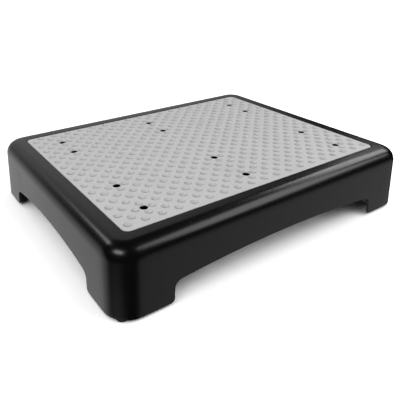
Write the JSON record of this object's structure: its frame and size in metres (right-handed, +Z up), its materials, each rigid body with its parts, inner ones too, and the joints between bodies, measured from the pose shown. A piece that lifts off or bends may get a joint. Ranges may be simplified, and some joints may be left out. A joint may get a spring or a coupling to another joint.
{
  "type": "step stool",
  "caption": "Low outdoor step stool: arched black plastic shell with a ribbed underside, a grey studded anti-slip mat with drain holes, and rubber feet.",
  "frame": {"origin": "middle of the footprint, on the floor", "axes": "+X along the length, +Y along the depth (front is -Y), +Z up"},
  "size_m": [0.56, 0.45, 0.103],
  "materials": {
    "shell": "satin moulded polypropylene, black, with a very fine grain",
    "mat": "matt grey rubber sheet with low moulded studs",
    "film": "double-sided bonding film, hidden under the mat",
    "foot": "matt black moulded rubber",
    "steel": "bright zinc plate"
  },
  "bodies": {
    "root": {"shell": "shell", "rib_grid": "shell", "tread_mat": "mat", "bonding_film": "film", "front_left_foot": "foot", "front_left_washer": "steel", "front_left_screw": "steel", "front_right_foot": "foot", "front_right_washer": "steel", "front_right_screw": "steel", "rear_left_foot": "foot", "rear_left_washer": "steel", "rear_left_screw": "steel", "rear_right_foot": "foot", "rear_right_washer": "steel", "rear_right_screw": "steel"}
  },
  "joints": []
}
